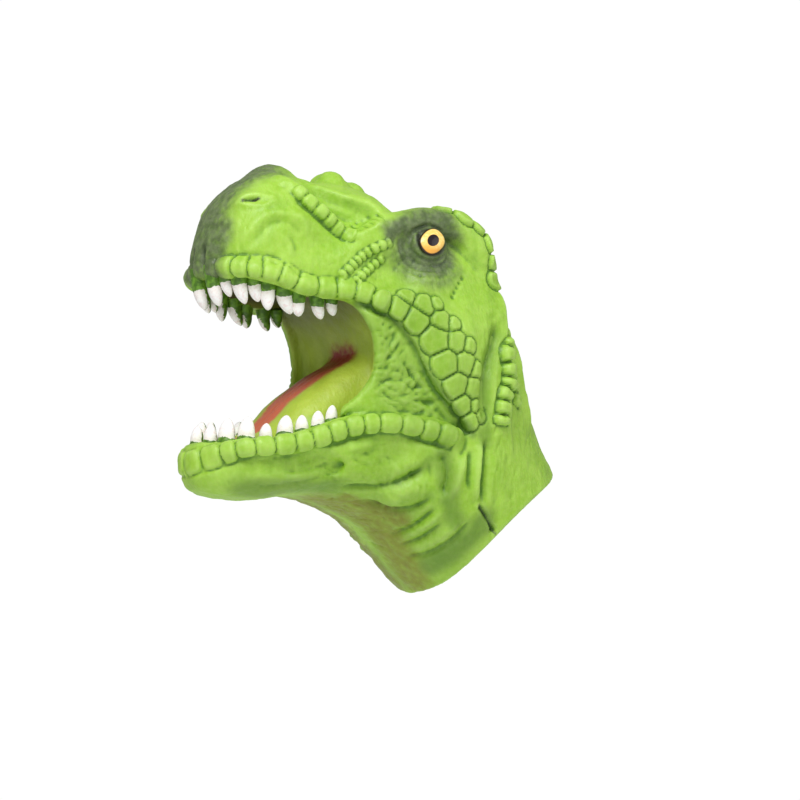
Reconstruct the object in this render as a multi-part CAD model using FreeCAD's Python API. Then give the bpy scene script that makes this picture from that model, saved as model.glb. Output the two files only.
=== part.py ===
import FreeCAD, Part
import math
import os

# Tyrannosaur-head hand puppet: a soft rubber head worn on the hand like a glove.
# +X runs out along the snout, +Y to the puppet's left, +Z up.
# The origin is the centre of the hand opening, where the wrist goes in.

os.makedirs("parts", exist_ok=True)

# ---- driving dimensions (mm, degrees) ----
WALL = 3.0                  # thickness of the rubber skin
SHEET = 2.0                 # thickness of the folds and webs
LINING = 2.5                # thickness of the palate and the mouth floor
NECK_LEAN = 39.3            # the neck's axis leans this far forward of vertical
HEM_HALF_DEPTH = 40.0       # hand opening, front to back
HEM_HALF_WIDTH = 35.0       # hand opening, side to side
NECK_TOP_HALF_DEPTH = 45.0
NECK_TOP_HALF_WIDTH = 38.0
NECK_LENGTH = 29.0          # hem to the soft fold below the skull
FOLD_LENGTH = 11.0          # the soft fold between neck and skull
GAP = 0.3                   # clearance between pieces that move apart
ARCH_POWER = 0.80           # below 1, an arch is fuller than a half ellipse
ARCH_POINTS = 13
SKIRT = 2.0                 # how far a cutting shape runs past the face it opens
JAW_AXIS = (58.0, 60.0)     # x, z of the fold at the back of the mouth
EYE_CENTRE = (40.0, 29.0, 108.0)
EYE_RADIUS = 7.0
TOOTH_TIP_RADIUS = 0.35
TONGUE_HALF_HEIGHT = 2.4

# Skull and upper jaw, rear to front: crown (x, z), lower edge (x, z), half width.
SKULL_SECTIONS = [
    ((-10.4, 60.7), (31.7, 26.1), 39.0),
    ((-5.5, 76.0), (34.0, 33.0), 40.0),
    ((1.5, 93.0), (37.0, 43.0), 40.0),
    ((8.0, 108.0), (42.0, 54.0), 39.0),
    ((20.0, 120.0), (48.0, 64.0), 38.0),
    ((36.0, 126.0), (55.0, 71.0), 36.0),
    ((52.0, 130.0), (63.0, 77.0), 33.5),
    ((68.0, 136.5), (72.0, 82.0), 30.5),
    ((80.0, 132.0), (81.0, 84.0), 28.0),
    ((94.0, 137.0), (92.0, 84.5), 26.5),
    ((104.0, 132.0), (103.0, 87.0), 25.0),
    ((113.0, 125.0), (113.0, 89.0), 22.5),
    ((119.5, 116.0), (120.0, 90.5), 18.0),
    ((123.5, 106.0), (124.5, 92.0), 11.0),
]

# Lower jaw, rear to front: throat or chin (x, z), lip (x, z), half width at the lip.
JAW_SECTIONS = [
    ((67.5, 4.6), (36.0, 33.8), 34.6),
    ((76.0, 7.5), (46.0, 40.5), 33.2),
    ((86.0, 10.5), (58.0, 42.5), 31.0),
    ((95.0, 10.5), (69.0, 42.0), 28.5),
    ((102.0, 9.8), (80.0, 40.5), 26.0),
    ((108.0, 9.7), (95.0, 36.0), 23.5),
    ((114.0, 10.3), (107.0, 33.5), 21.0),
    ((120.0, 12.0), (118.0, 32.5), 16.5),
    ((124.5, 15.5), (124.5, 31.5), 10.0),
    ((127.5, 19.5), (127.5, 29.5), 4.5),
]

# Mouth linings, back to front: middle of the sheet (x, z) and half width.
PALATE_PATH = [
    (63.0, 68.5, 29.0),
    (72.0, 80.0, 27.0),
    (82.0, 85.5, 24.8),
    (95.0, 87.5, 23.0),
    (106.0, 90.5, 21.0),
    (115.0, 93.0, 18.0),
    (121.0, 95.0, 12.5),
]
FLOOR_PATH = [
    (63.0, 52.5, 28.0),
    (71.0, 43.0, 26.0),
    (80.0, 37.0, 24.2),
    (95.0, 31.5, 21.5),
    (107.0, 29.5, 18.8),
    (116.0, 28.5, 14.5),
    (122.0, 28.0, 9.0),
]

# Teeth on one side, front to back: x, half spacing y, tip z, base radius.
UPPER_TEETH = [
    (121.0, 6.0, 80.0, 2.6),
    (119.0, 11.2, 83.0, 2.0),
    (115.2, 15.0, 80.2, 2.5),
    (110.2, 17.3, 81.0, 2.3),
    (105.4, 18.8, 78.0, 2.5),
    (99.5, 20.0, 77.0, 2.6),
    (93.9, 20.7, 76.3, 2.3),
    (86.0, 21.2, 75.8, 2.1),
    (80.0, 21.6, 77.5, 2.0),
]
LOWER_TEETH = [
    (121.5, 5.5, 36.6, 2.4),
    (117.6, 11.0, 38.6, 2.9),
    (111.8, 15.3, 39.2, 2.9),
    (105.0, 17.4, 36.8, 2.2),
    (97.9, 19.0, 40.0, 2.7),
    (91.5, 20.3, 40.2, 2.2),
    (85.4, 21.4, 42.0, 2.3),
    (80.2, 22.4, 44.2, 2.1),
]

# Outline of the web of skin at each corner of the mouth: x, z.
CHEEK_WEB_OUTLINE = [
    (36.5, 38.0), (42.0, 50.0), (50.0, 64.0), (60.0, 73.0), (74.0, 80.5),
    (68.0, 72.0), (66.0, 62.0), (69.0, 51.0), (77.0, 44.0),
    (64.0, 44.5), (50.0, 43.5), (40.0, 40.0),
]

LEAN = math.radians(NECK_LEAN)
NECK_AXIS = FreeCAD.Vector(math.sin(LEAN), 0, math.cos(LEAN))
NECK_FRONT = FreeCAD.Vector(math.cos(LEAN), 0, -math.sin(LEAN))
ACROSS = FreeCAD.Vector(0, 1, 0)


def side_point(place, y=0.0):
    """A point from its place (x, z) in side view and its distance y to the left."""
    return FreeCAD.Vector(place[0], y, place[1])


def save(name, shape):
    """Write one named piece to its own file."""
    shape.exportStep(os.path.join("parts", name + ".step"))
    print(name, round(shape.Volume), "mm3", "valid" if shape.isValid() else "NOT VALID")


def main_solid(shape):
    """The largest solid of a cut, so that no crumbs stay beside it."""
    return max(shape.Solids, key=lambda solid: solid.Volume)


def signed_power(value, power):
    """Raise a size to a power and keep its sign."""
    return math.copysign(abs(value) ** power, value)


def arch_wire(crown, base, half_width):
    """A closed D: an arch from side to side over the crown, and a straight base."""
    foot = side_point(base)
    rise = side_point(crown) - foot
    points = []
    for step in range(ARCH_POINTS):
        turn = math.pi * step / (ARCH_POINTS - 1)
        side = half_width * signed_power(math.cos(turn), ARCH_POWER)
        lift = abs(math.sin(turn)) ** ARCH_POWER
        points.append(foot + rise * lift + ACROSS * side)
    points[0] = foot + ACROSS * half_width
    points[-1] = foot - ACROSS * half_width
    curve = Part.BSplineCurve()
    curve.interpolate(points)
    closing = Part.makeLine(points[-1], points[0])
    return Part.Wire([curve.toShape(), closing])


def inset_section(section, amount):
    """The same section with its crown and sides moved in and its base opened."""
    crown, base, half_width = section
    foot = side_point(base)
    rise = side_point(crown) - foot
    unit = rise * (1.0 / rise.Length)
    new_crown = side_point(crown) - unit * amount
    new_base = foot - unit * SKIRT
    return ((new_crown.x, new_crown.z), (new_base.x, new_base.z), half_width - amount)


def run_past(section, next_section, share):
    """A section moved away from the next one, to cut the open end clean through."""
    crown, base, half_width = section
    ahead_crown, ahead_base, ahead_width = next_section
    moved_crown = tuple(a + share * (a - b) for a, b in zip(crown, ahead_crown))
    moved_base = tuple(a + share * (a - b) for a, b in zip(base, ahead_base))
    return (moved_crown, moved_base, half_width + share * (half_width - ahead_width))


def arch_loft(sections):
    """A solid through a row of arches."""
    wires = [arch_wire(crown, base, half_width) for crown, base, half_width in sections]
    return Part.makeLoft(wires, True, True)


def hollow(sections):
    """The space inside an arched shell, open below and at the rear."""
    inner = [inset_section(section, WALL) for section in sections[:-1]]
    rear = run_past(inner[0], inner[1], 0.4)
    return arch_loft([rear] + inner)


def neck_ellipse(height, half_depth, half_width):
    """An ellipse square to the neck's axis, height along it."""
    ellipse = Part.Ellipse()
    ellipse.MajorRadius = half_depth
    ellipse.MinorRadius = half_width
    edge = ellipse.toShape()
    rotation = FreeCAD.Rotation(NECK_FRONT, ACROSS, NECK_AXIS, "ZXY")
    edge.Placement = FreeCAD.Placement(NECK_AXIS * height, rotation)
    return Part.Wire([edge])


def neck_tube(low, high, low_size, high_size, wall):
    """A tube along the neck between two heights, given its outer half sizes."""
    outer = Part.makeLoft(
        [neck_ellipse(low, *low_size), neck_ellipse(high, *high_size)], True, True)
    slope = [(b - a) / (high - low) for a, b in zip(low_size, high_size)]
    below = [size - wall - SKIRT * rate for size, rate in zip(low_size, slope)]
    above = [size - wall + SKIRT * rate for size, rate in zip(high_size, slope)]
    inner = Part.makeLoft(
        [neck_ellipse(low - SKIRT, *below), neck_ellipse(high + SKIRT, *above)], True, True)
    return outer.cut(inner)


def sheet_loft(path, thickness):
    """A bent sheet across the mouth along a path of x, z and half width."""
    wires = []
    for index, (x, z, half_width) in enumerate(path):
        before = path[max(index - 1, 0)]
        after = path[min(index + 1, len(path) - 1)]
        along = side_point(after[:2]) - side_point(before[:2])
        normal = along.cross(ACROSS)
        normal = normal * (thickness / 2 / normal.Length)
        middle = side_point((x, z))
        corners = [
            middle + normal + ACROSS * half_width,
            middle + normal - ACROSS * half_width,
            middle - normal - ACROSS * half_width,
            middle - normal + ACROSS * half_width,
        ]
        wires.append(Part.makePolygon(corners + corners[:1]))
    return Part.makeLoft(wires, True, True)


def height_on(path, x):
    """The height of a lining's middle at a distance x along the snout."""
    for start, end in zip(path, path[1:]):
        if start[0] <= x <= end[0]:
            share = (x - start[0]) / (end[0] - start[0])
            return start[1] + share * (end[1] - start[1])
    return path[-1][1]


def tooth(x, y, tip_z, radius, path):
    """A cone whose root is inside the lining and whose tip points into the mouth."""
    root = side_point((x, height_on(path, x)), y)
    tip = side_point((x, tip_z), y)
    along = tip - root
    return Part.makeCone(radius, TOOTH_TIP_RADIUS, along.Length, root, along)


def web_side_y(x):
    """How far out the corner webs lie: a little inside the lips."""
    return 31.8 - 0.235 * (x - 40.0)


def cheek_web():
    """The thin web of skin behind the teeth on the left side of the mouth."""
    outer = [side_point(place, web_side_y(place[0])) for place in CHEEK_WEB_OUTLINE]
    face = Part.Face(Part.makePolygon(outer + outer[:1]))
    return face.extrude(FreeCAD.Vector(0, -SHEET, 0))


def mirrored(shape):
    """The same piece on the puppet's right side."""
    return shape.mirror(FreeCAD.Vector(0, 0, 0), ACROSS)


# ---- neck ----
hem_size = (HEM_HALF_DEPTH, HEM_HALF_WIDTH)
neck_top_size = (NECK_TOP_HALF_DEPTH, NECK_TOP_HALF_WIDTH)
neck_sleeve = neck_tube(0, NECK_LENGTH, hem_size, neck_top_size, WALL)
save("neck_sleeve", neck_sleeve)

fold_low = NECK_LENGTH + GAP
fold_high = NECK_LENGTH + FOLD_LENGTH - GAP
neck_fold = neck_tube(fold_low, fold_high, neck_top_size, neck_top_size, SHEET)
save("neck_fold", neck_fold)

# ---- head ----
head_space = hollow(SKULL_SECTIONS)
head_shell = main_solid(arch_loft(SKULL_SECTIONS).cut(head_space))
eye_left = Part.makeSphere(EYE_RADIUS, FreeCAD.Vector(*EYE_CENTRE), ACROSS)
eye_right = mirrored(eye_left)
head_shell = main_solid(head_shell.cut(eye_left).cut(eye_right))
save("head_shell", head_shell)
save("eye_left", eye_left)
save("eye_right", eye_right)

palate_lining = main_solid(sheet_loft(PALATE_PATH, LINING).cut(head_shell))
save("palate_lining", palate_lining)

# ---- lower jaw ----
jaw_space = hollow(JAW_SECTIONS)
lower_jaw_shell = main_solid(arch_loft(JAW_SECTIONS).cut(jaw_space))
save("lower_jaw_shell", lower_jaw_shell)

mouth_floor_lining = main_solid(sheet_loft(FLOOR_PATH, LINING).cut(lower_jaw_shell))
save("mouth_floor_lining", mouth_floor_lining)

tongue_wires = []
for x, half_width in ((72.0, 7.0), (82.0, 9.0), (95.0, 9.5), (105.0, 7.5), (111.0, 3.0)):
    centre = side_point((x, height_on(FLOOR_PATH, x) + LINING / 2 + TONGUE_HALF_HEIGHT / 2))
    ring = Part.Ellipse(FreeCAD.Vector(0, 0, 0), half_width, TONGUE_HALF_HEIGHT).toShape()
    turn = FreeCAD.Rotation(ACROSS, FreeCAD.Vector(0, 0, 1), FreeCAD.Vector(1, 0, 0), "ZXY")
    ring.Placement = FreeCAD.Placement(centre, turn)
    tongue_wires.append(Part.Wire([ring]))
tongue = main_solid(Part.makeLoft(tongue_wires, True, True).cut(mouth_floor_lining))
save("tongue", tongue)

# ---- teeth, each with its root moulded into the lining and the gum ----
rows = (("upper", UPPER_TEETH, PALATE_PATH), ("lower", LOWER_TEETH, FLOOR_PATH))
for row_name, teeth, path in rows:
    for number, (x, y, tip_z, radius) in enumerate(teeth, start=1):
        left = tooth(x, y, tip_z, radius, path)
        save(row_name + "_tooth_left_" + str(number), left)
        save(row_name + "_tooth_right_" + str(number), mirrored(left))

# ---- soft webs and folds that stretch when the jaw moves ----
web_left = main_solid(cheek_web().cut(head_shell).cut(lower_jaw_shell)
                      .cut(palate_lining).cut(mouth_floor_lining))
save("cheek_web_left", web_left)
save("cheek_web_right", mirrored(web_left))

fold_path = [(61.0, 65.5, 24.0), (JAW_AXIS[0], 63.0, 24.0), (57.0, JAW_AXIS[1], 24.0),
             (JAW_AXIS[0], 57.0, 24.0), (61.0, 54.5, 24.0)]
save("mouth_fold", sheet_loft(fold_path, SHEET))

band = neck_tube(NECK_LENGTH + FOLD_LENGTH + GAP, NECK_LENGTH + FOLD_LENGTH + 5.4,
                 neck_top_size, neck_top_size, SHEET)
front_half = Part.makeBox(60, 100, 60, FreeCAD.Vector(0, -50, 0))
front_turn = FreeCAD.Rotation(NECK_FRONT, ACROSS, NECK_AXIS, "ZXY")
front_half.Placement = FreeCAD.Placement(
    NECK_AXIS * NECK_LENGTH + NECK_FRONT * 16.0 + front_turn.multVec(FreeCAD.Vector(0, -50, 0)),
    front_turn)
throat_fold = main_solid(band.common(front_half).cut(head_shell).cut(lower_jaw_shell))
save("throat_fold", throat_fold)
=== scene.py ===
import math

import bmesh
import bpy
import numpy as np
from mathutils import Matrix, Vector


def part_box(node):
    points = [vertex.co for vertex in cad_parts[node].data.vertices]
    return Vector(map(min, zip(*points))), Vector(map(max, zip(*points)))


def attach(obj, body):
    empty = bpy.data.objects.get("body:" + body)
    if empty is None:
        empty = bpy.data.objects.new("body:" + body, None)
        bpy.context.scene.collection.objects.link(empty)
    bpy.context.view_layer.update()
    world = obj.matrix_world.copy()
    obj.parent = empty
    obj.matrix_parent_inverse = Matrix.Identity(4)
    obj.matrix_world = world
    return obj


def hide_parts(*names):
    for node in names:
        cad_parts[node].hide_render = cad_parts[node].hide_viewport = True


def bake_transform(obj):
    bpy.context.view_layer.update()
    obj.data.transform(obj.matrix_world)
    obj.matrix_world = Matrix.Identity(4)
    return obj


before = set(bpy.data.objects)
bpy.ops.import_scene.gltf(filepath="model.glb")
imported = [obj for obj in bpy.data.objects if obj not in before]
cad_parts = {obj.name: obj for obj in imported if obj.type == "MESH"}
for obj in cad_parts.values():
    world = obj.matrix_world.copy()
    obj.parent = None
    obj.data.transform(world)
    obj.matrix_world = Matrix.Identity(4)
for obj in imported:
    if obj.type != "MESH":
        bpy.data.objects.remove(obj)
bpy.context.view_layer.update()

# A soft rubber dinosaur-head hand puppet. The skin is sculpted as a solid in a grid of
# distances (millimetres, in the frame's axes), hollowed, turned into a mesh and then detailed.
# Every sculpted size is in millimetres and becomes metres when its mesh is made. Only the left
# half is sculpted, with y from 0 outwards: places with two numbers are x, z on the head's side.

MM = 0.001
GRID_STEP = 0.7
GRID_LOW = np.array([-37.0, 0.0, -33.0])
GRID_HIGH = np.array([134.0, 48.0, 146.0])
FAR_AWAY = 50.0                 # the grid's value before anything is sculpted
STEEPNESS_RANGE = (0.35, 4.0)   # how uneven the distances may be and still be evened out
SKIN_RELAXING = (0.5, -0.515) * 3       # steps to the mean of a point's neighbours, and back
WALL = 2.8                      # rubber skin
LEAN = math.radians(39.3)       # the neck leans this far forward of vertical
NECK_AXIS = np.array([math.sin(LEAN), 0.0, math.cos(LEAN)])
NECK_FRONT = np.array([math.cos(LEAN), 0.0, -math.sin(LEAN)])
JAW_AXIS = np.array([58.0, 60.0])
HEM_LIFT = 7.0                  # the hem arches up this far at each side of the wrist
SLOPE_REACH = 2.5               # a slope is measured this far to each side of its place
SNAP_ROUNDS = 3                 # steps that bring a scale's centre onto the surface
SEED = 7
SEAM = 33.0                     # the skin's two pieces meet this far up the neck's axis
SEAM_BLEND = (SEAM + 1, SEAM + 23)      # above the seam the jaw's pull fades in over this
NECK_STILL = 8.0                # below this the neck's skin doesn't follow the head
JAW_BLEND_REACH = (25, 50)      # near and far, measured from the jaw's axis
ABOVE_MOUTH = (34, 18)          # angles over which the skin goes with the head, near and far
BELOW_MOUTH = (-30, -17)        # angles under which it goes with the jaw, near and far
THROAT_ANGLES = (-118, -50)     # the jaw's pull fades in under the throat between these
# the skin's curvature gives painted shade in creases and painted light on ridges
CREASE_SHADE_GAIN = 2.0
CREASE_SHADE_EVENING = 2
# airbrush and ochre are the rubber's own paints; 'shade' is painted shade; the ink is the eye's outline and
# painted shade in the nostril and creases
PAINTS = ("airbrush", "ochre", "shade", "ink_and_crease_shade")
TOOTH_CENTRE = np.array([84.0, 0.0])
WHITE_UPPER = (7.2, 5.6, 7.2, 6.3, 7.4, 6.8, 5.2, 4.8, 4.4)     # painted length of each tooth
WHITE_LOWER = (6.4, 7.8, 8.0, 5.4, 6.9, 5.6, 5.8, 5.4)
CROWN_SWELL = 1.14              # a tooth's radius against its CAD tooth's, crown and root
ROOT_SWELL = 1.24
TOOTH_MESH = (22, 24)           # rings and spokes
EYE_MESH = (26, 64)
EYE_HALF = (6.3, 5.0)
EYE_BULGE = 2.6
EYE_TILT = 40.0
PUPIL_HALF = (2.7, 2.1)
PUPIL_PLACE = (-0.3, 0.2)
# the darkening up in the mouth's vault is painted shade
PALE_FLOOR = (56, 36)           # the mouth's lining gets paler from this height to this
DARK_VAULT = (70, 84, 90)       # and darker from the first to the second, and to the third
RED_HALF = (8.0, 12.5)          # half width of the tongue's red, in front and at the back
RED_LENGTH = (108, 62)
RED_TIP = (112, 102)            # the red fades in over this at its tip
RED_TOP = (62, 76)              # and out over these heights up the back of the mouth
RED_DARKENS = (90, 68)
TONGUE_HALF = 10.0
TONGUE_RISE = 0.9
TONGUE_EDGE = 0.3               # its edges lie this far under the mouth's floor
TONGUE_DEPTH = 1.6
TONGUE_SEARCH = 9.0             # how far to either side of its line the floor is looked for
BACKDROP = 1.02                 # the surroundings as the camera sees them
FLOOR_LEVEL = -0.42             # metres, as are the floor's half width and the lights' places
FLOOR_HALF = 1.6
FLOOR_GLOW = 0.25
AMBIENT = 0.35                  # the surroundings as light on the puppet
KEY_POWER = 5.2
FILL_POWER = 1.1
BOUNCE_POWER = 0.6
CAMERA_TURN = math.radians(32.0)        # forward of a straight left-side view
CAMERA_RISE = math.radians(-5.0)
CAMERA_DISTANCE = 755.6 * MM
CAMERA_LENS = 85
AIM_RIGHT = -30.8 * MM
AIM_UP = 51.2 * MM


# ---------------------------------------------------------------- curves and fields

def through(knots):
    """A smooth function through a few (place, value) knots, constant beyond its ends."""
    places, values = np.array(knots, float).T
    slopes = np.gradient(values, places)

    def value_at(x):
        x = np.clip(x, places[0], places[-1])
        i = np.clip(np.searchsorted(places, x) - 1, 0, len(places) - 2)
        span = places[i + 1] - places[i]
        t = (x - places[i]) / span
        return ((1 + 2 * t) * (1 - t) ** 2 * values[i] + t * (1 - t) ** 2 * span * slopes[i]
                + t * t * (3 - 2 * t) * values[i + 1] + t * t * (t - 1) * span * slopes[i + 1])

    return value_at


def spline(points, closed=False, pieces=6):
    """Points along a smooth curve through a few points (Catmull-Rom)."""
    p = np.array(points, float)
    if closed:
        p = np.vstack([p[-1:], p, p[:2]])
    else:
        p = np.vstack([2 * p[:1] - p[1:2], p, 2 * p[-1:] - p[-2:-1]])
    t = np.linspace(0, 1, pieces, endpoint=False)[:, None]
    rows = []
    for a, b, c, d in zip(p, p[1:], p[2:], p[3:]):
        rows.append(b + 0.5 * t * (c - a + t * (2 * a - 5 * b + 4 * c - d
                                                + t * (3 * (b - c) + d - a))))
    if not closed:
        rows.append(p[-2:-1])
    return np.vstack(rows)


def outline_distance(px, pz, outline):
    """Signed distance to a closed outline in side view, negative inside."""
    best = np.full(px.shape, 1e9)
    inside = np.zeros(px.shape, bool)
    for (ax, az), (bx, bz) in zip(outline, np.roll(outline, -1, axis=0)):
        ex, ez = bx - ax, bz - az
        t = np.clip(((px - ax) * ex + (pz - az) * ez) / max(ex * ex + ez * ez, 1e-9), 0, 1)
        best = np.minimum(best, (px - ax - t * ex) ** 2 + (pz - az - t * ez) ** 2)
        if az != bz:
            crosses = (az > pz) != (bz > pz)
            inside ^= crosses & (px < ax + (pz - az) * ex / ez)
    return np.where(inside, -1, 1) * np.sqrt(best)


def smooth_union(a, b, blend):
    h = np.clip(0.5 + 0.5 * (b - a) / blend, 0, 1)
    return b + (a - b) * h - blend * h * (1 - h)


def smooth_cut(a, b, blend):
    """a with b taken away."""
    return -smooth_union(-a, b, blend)


def smoothstep(x, low, high):
    t = np.clip((x - low) / (high - low), 0, 1)
    return t * t * (3 - 2 * t)


def blend_corners(base, t, value_at):
    """Mix the values at the eight corners of each cell, t of the way across it."""
    value = 0
    for corner in np.ndindex(2, 2, 2):
        weight = np.prod(np.where(np.array(corner), t, 1 - t), axis=1)
        value = value + weight * value_at(base + np.array(corner))
    return value


class Clay:
    """Half of the puppet as a grid of distances; the other half is its mirror image."""

    def __init__(self):
        count = np.ceil((GRID_HIGH - GRID_LOW) / GRID_STEP).astype(int)
        axes = [GRID_LOW[i] + GRID_STEP * np.arange(count[i]) for i in range(3)]
        self.axes = axes
        self.x = axes[0][:, None, None]
        self.y = axes[1][None, :, None]
        self.z = axes[2][None, None, :]
        self.field = np.full([len(a) for a in axes], FAR_AWAY, np.float32)

    def window(self, low, high, origin):
        """The part of the grid within a box, and its x, y and z from an origin."""
        part = []
        for axis, a, b in zip(self.axes, low, high):
            part.append(slice(int(np.searchsorted(axis, a)), int(np.searchsorted(axis, b)) + 1))
        return (tuple(part), self.x[part[0]] - origin[0], self.y[:, part[1]] - origin[1],
                self.z[:, :, part[2]] - origin[2])

    def side(self, outline):
        """Distance to a closed outline in side view, for every place on the grid."""
        px, pz = np.meshgrid(self.axes[0], self.axes[2], indexing="ij")
        return outline_distance(px, pz, outline)[:, None, :]

    def merge(self, distance, blend, cut, part=...):
        """Add or take away a shape, given its distances in the whole grid or a part of it."""
        join = smooth_cut if cut else smooth_union
        self.field[part] = join(self.field[part], distance, blend)

    def blob(self, centre, radii, blend=3.0, cut=False, turn=0.0):
        """Add or take away an egg shape. turn tips its long axis up, in side view."""
        centre, radii = np.array(centre, float), np.array(radii, float)
        reach = radii.max() + 2.5 * blend
        part, x, y, z = self.window(centre - reach, centre + reach, centre)
        c, s = math.cos(math.radians(turn)), math.sin(math.radians(turn))
        u, w = x * c + z * s, z * c - x * s
        k0 = np.sqrt((u / radii[0]) ** 2 + (y / radii[1]) ** 2 + (w / radii[2]) ** 2)
        k1 = np.sqrt((u / radii[0] ** 2) ** 2 + (y / radii[1] ** 2) ** 2 + (w / radii[2] ** 2) ** 2)
        distance = k0 * (k0 - 1) / np.maximum(k1, 1e-6)
        self.merge(distance, blend, cut, part)

    def roll(self, points, radius, blend=2.0, cut=False):
        """Add or take away a rounded roll along a smooth line of points x, y, z."""
        line = spline(points, pieces=3)
        for a, b in zip(line, line[1:]):
            reach = radius + 2.5 * blend
            part, x, y, z = self.window(np.minimum(a, b) - reach, np.maximum(a, b) + reach, a)
            e = b - a
            t = np.clip((x * e[0] + y * e[1] + z * e[2]) / max(e @ e, 1e-9), 0, 1)
            distance = np.sqrt((x - t * e[0]) ** 2 + (y - t * e[1]) ** 2
                               + (z - t * e[2]) ** 2) - radius
            self.merge(distance, blend, cut, part)

    def sample(self, field, points):
        """A field's value at each point, from either side of the head."""
        left = np.stack([points[:, 0], np.abs(points[:, 1]), points[:, 2]], 1)
        place = (left - GRID_LOW) / GRID_STEP
        base = np.clip(np.floor(place).astype(int), 0, np.array(field.shape) - 2)
        return blend_corners(base, np.clip(place - base, 0, 1), lambda cell: field[tuple(cell.T)])

    def slope(self, point):
        """The direction straight out of the surface at a point."""
        steps = SLOPE_REACH * np.vstack([np.eye(3), -np.eye(3)])
        values = self.sample(self.field, point + steps)
        return (values[:3] - values[3:]) / (2 * SLOPE_REACH)

    def even_out(self):
        """Turn the field into true distances near its surface."""
        gradient = np.gradient(self.field, GRID_STEP)
        steepness = np.sqrt(sum(g * g for g in gradient))
        self.field = (self.field / np.clip(steepness, *STEEPNESS_RANGE)).astype(np.float32)


# ---------------------------------------------------------------- the base shape

SKULL_TOP = [(3, 80), (8, 92), (13, 103), (18, 112), (24, 117), (31, 119), (40, 120.5), (51, 123.5),
             (61, 129), (70, 130.5), (80, 131), (90, 132), (98, 132.5), (105, 130.8), (111, 127),
             (116, 122), (120, 115.8), (123, 108), (124.8, 100.5), (125.6, 96.5)]
SKULL_LOW = [(0, 40), (20, 40), (40, 56), (55, 70), (66, 77.5), (75, 81.5), (82, 82.3), (92, 83),
             (103, 86), (113, 88.5), (120, 89.5), (123.5, 91), (125.4, 94)]
SKULL_HALF = [(2, 27), (8, 32), (14, 36), (25, 38.5), (40, 37.8), (55, 36.3), (68, 34.3),
              (80, 29.8), (94, 27), (104, 25), (112, 22), (117.5, 17.5), (121.5, 12),
              (124.4, 6.5), (125.6, 1)]
JAW_TOP = [(20, 36), (33, 37), (46, 40), (58, 41.5), (69, 41), (80, 39.5), (88, 36.5), (98, 33.5),
           (112, 31.5), (122, 30.5), (127, 29), (129.3, 26)]
JAW_LOW = [(20, -28), (30, -24), (38, -17.5), (47, -8.5), (58, 0.5), (67, 5), (76, 8.6), (86, 11),
           (96, 10.4), (106, 9.5), (115, 9.8), (122, 11.2), (126.4, 13.6), (129.3, 18.5)]
JAW_HALF = [(20, 36), (33, 38), (46, 37), (58, 35), (69, 32.5), (80, 29.5), (95, 24.8), (107, 22),
            (116, 18.2), (122, 13.8), (126, 9.5), (128.6, 4.5), (129.3, 1)]
NECK_BACK = [(-3, 37), (0, 37.6), (12, 39.5), (22, 42), (31, 44.5), (40, 45), (50, 48.5), (58, 52),
             (68, 54), (80, 54)]
NECK_FRONT_REACH = [(-3, 39.5), (0, 39.8), (22, 41.3), (35, 41.3), (46, 37), (60, 25), (80, 10)]
NECK_HALF = [(-3, 34.5), (0, 35), (14, 36), (29, 37.5), (45, 39), (60, 38.5), (80, 34)]

WEB_EDGE = [(81.0, 84.5), (74.4, 81), (69.7, 74), (67.6, 66), (68.0, 57.5), (71.0, 50.5), (75.6, 45.2),
            (82, 40.0)]
UPPER_LIP_EDGE = [(74.5, 82.3), (65, 77.5), (59, 73.3), (54, 67), (50.5, 60), (45.5, 52), (39.5, 45),
                  (33.5, 39.5), (29.5, 35)]
LOWER_LIP_EDGE = [(31, 34.5), (41.5, 36.8), (54, 39.2), (64, 40), (75, 40.2)]


def side_body(clay, top, low, half, middle, power, low_power, rear):
    """A body whose section across the snout is rounded, given its side and plan outlines."""
    x, y, z = clay.x, clay.y, clay.z
    high, base, width = through(top)(x), through(low)(x), through(half)(x)
    centre = base + middle * (high - base)
    rise = np.where(z > centre, (z - centre) / (high - centre), (centre - z) / (centre - base))
    shape = np.where(z > centre, power, low_power)
    ratio = ((y / width) ** shape + rise ** shape) ** (1 / shape)
    distance = (ratio - 1) * np.minimum(width, (high - base) / 2)
    ends = np.maximum(rear - x, x - top[-1][0])
    return np.maximum(distance, ends)


def neck_body(clay):
    """The neck: an oval tube along its leaning axis."""
    along = clay.x * NECK_AXIS[0] + clay.z * NECK_AXIS[2]
    front = clay.x * NECK_FRONT[0] + clay.z * NECK_FRONT[2]
    reach = np.where(front > 0, through(NECK_FRONT_REACH)(along), through(NECK_BACK)(along))
    half = through(NECK_HALF)(along)
    ratio = np.sqrt((front / reach) ** 2 + (clay.y / half) ** 2)
    distance = (ratio - 1) * np.minimum(reach, half)
    return np.maximum(distance, along - 80), along


def sculpt():
    """The outer surface of the puppet with its mouth open, and each grid place's distance up the neck."""
    clay = Clay()
    skull = side_body(clay, SKULL_TOP, SKULL_LOW, SKULL_HALF, 0.30, 2.3, 5.0, -4.0)
    jaw_low_power = through([(20, 1.9), (55, 1.9), (75, 2.3), (95, 3.2), (129, 3.2)])(clay.x)
    jaw = side_body(clay, JAW_TOP, JAW_LOW, JAW_HALF, 0.72, 2.4, jaw_low_power, 20.0)
    neck, along = neck_body(clay)
    cheek_top = [(10, 95), (40, 90), (60, 86), (78, 84)]
    cheek_low = [(10, 20), (40, 34), (60, 36), (78, 38)]
    cheek_half = [(10, 37), (30, 39), (45, 38.4), (60, 36.8), (70, 35), (80, 30.5)]
    cheek = side_body(clay, cheek_top, cheek_low, cheek_half, 0.5, 5.0, 5.0, 10.0)
    body = smooth_union(skull, neck, 8.0)
    body = smooth_union(body, jaw, 5.0)
    clay.field = smooth_union(body, cheek, 4.0).astype(np.float32)
    clay.even_out()
    shape_head(clay)
    open_mouth(clay)
    shape_lips(clay)
    clay.even_out()
    return clay, along


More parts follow.
